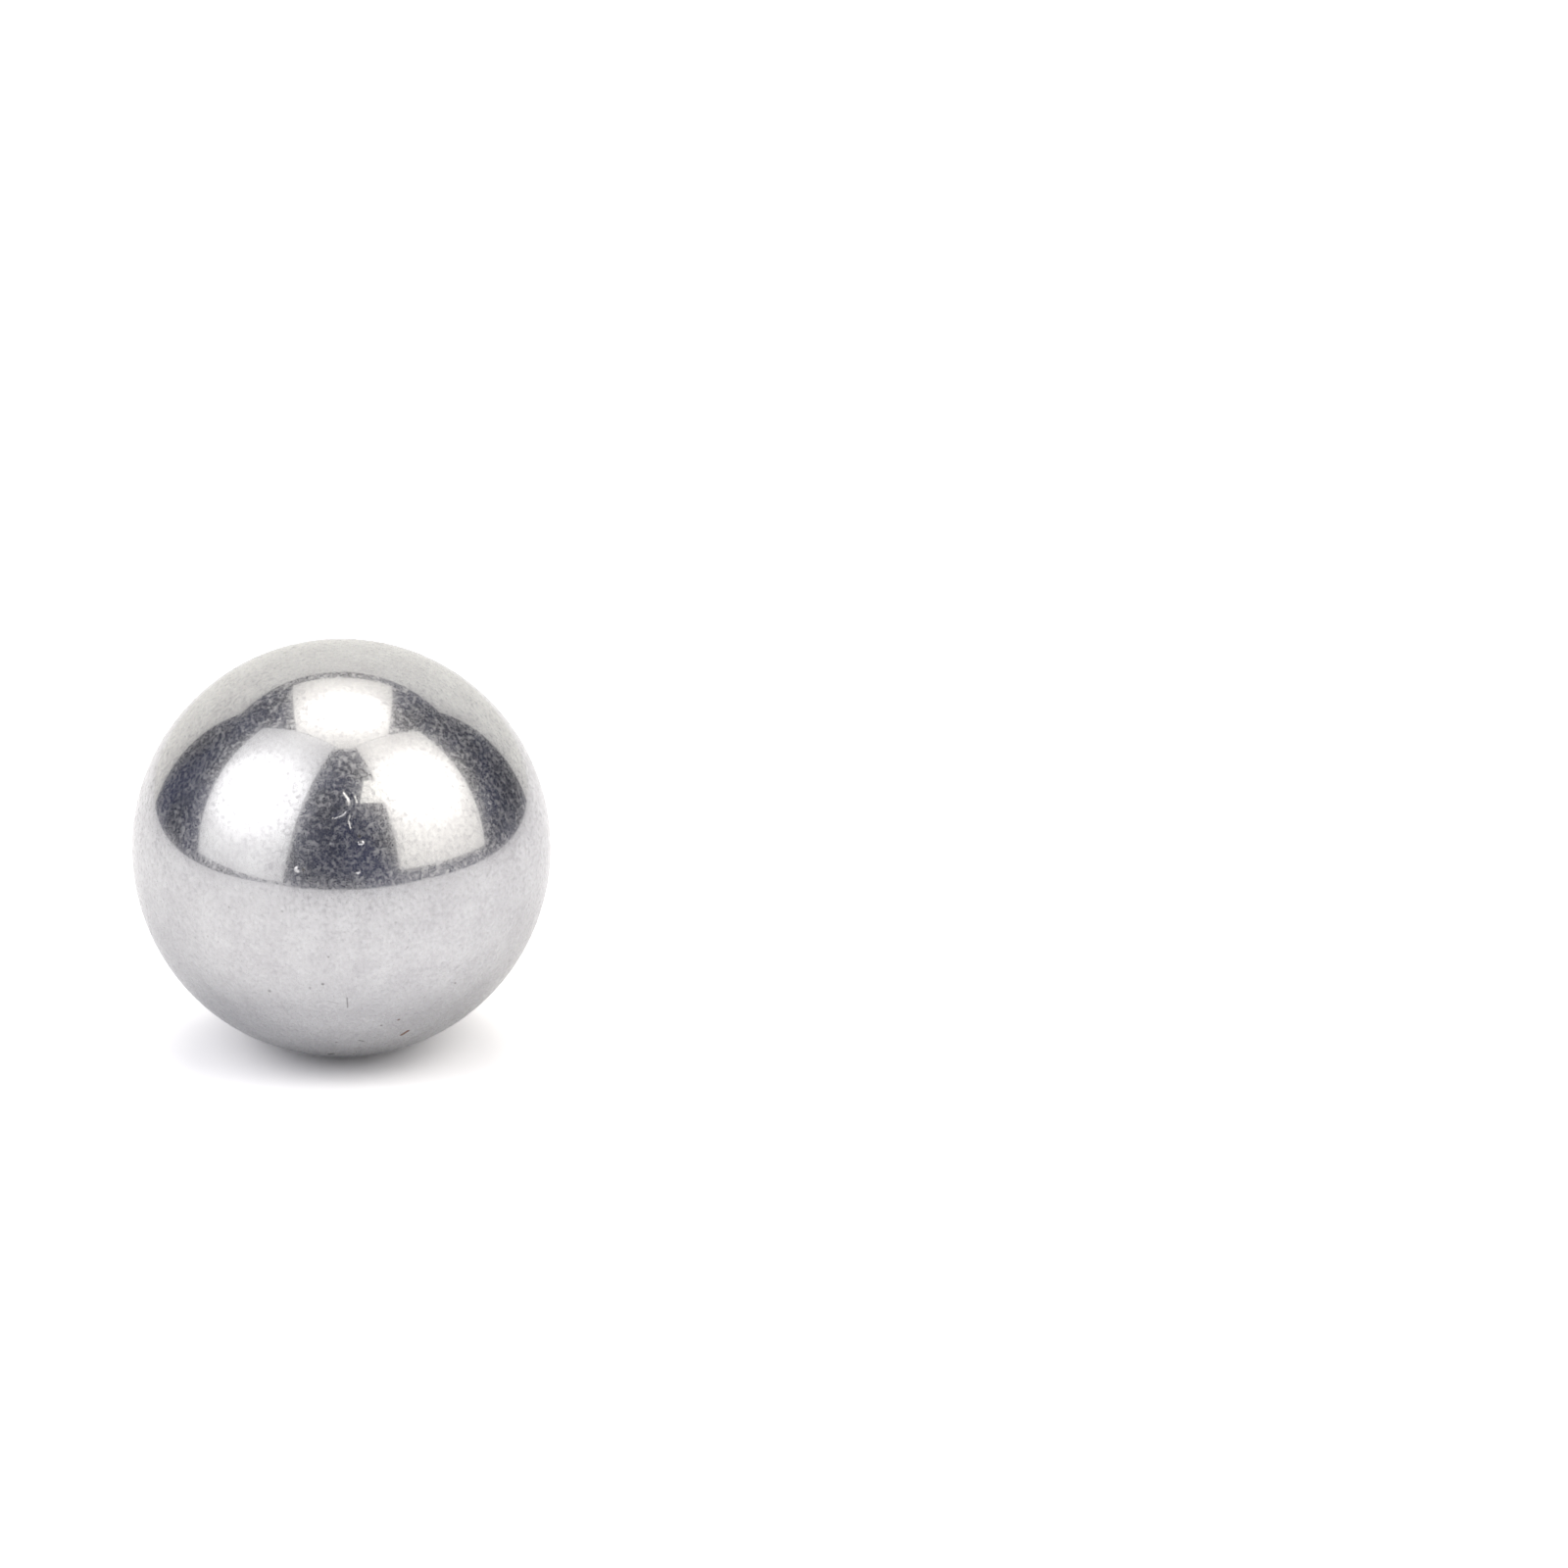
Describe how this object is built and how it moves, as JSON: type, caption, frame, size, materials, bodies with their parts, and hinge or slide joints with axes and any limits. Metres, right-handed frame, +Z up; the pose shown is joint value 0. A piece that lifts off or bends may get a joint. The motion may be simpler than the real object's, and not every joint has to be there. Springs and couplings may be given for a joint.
{
  "type": "steel ball",
  "caption": "Polished solid steel ball, a plain true sphere with no hole or flat, lightly nicked and speckled from use.",
  "frame": {"origin": "centre of the ball", "axes": "+Z up; the ball is the same about every axis, and its lowest point is half a diameter below the origin"},
  "size_m": [0.016, 0.016, 0.016],
  "materials": {
    "lapped_steel": "ground and lapped to a mirror, with fine pits, specks and a few handling nicks"
  },
  "bodies": {
    "root": {"ball": "lapped_steel"}
  },
  "joints": []
}
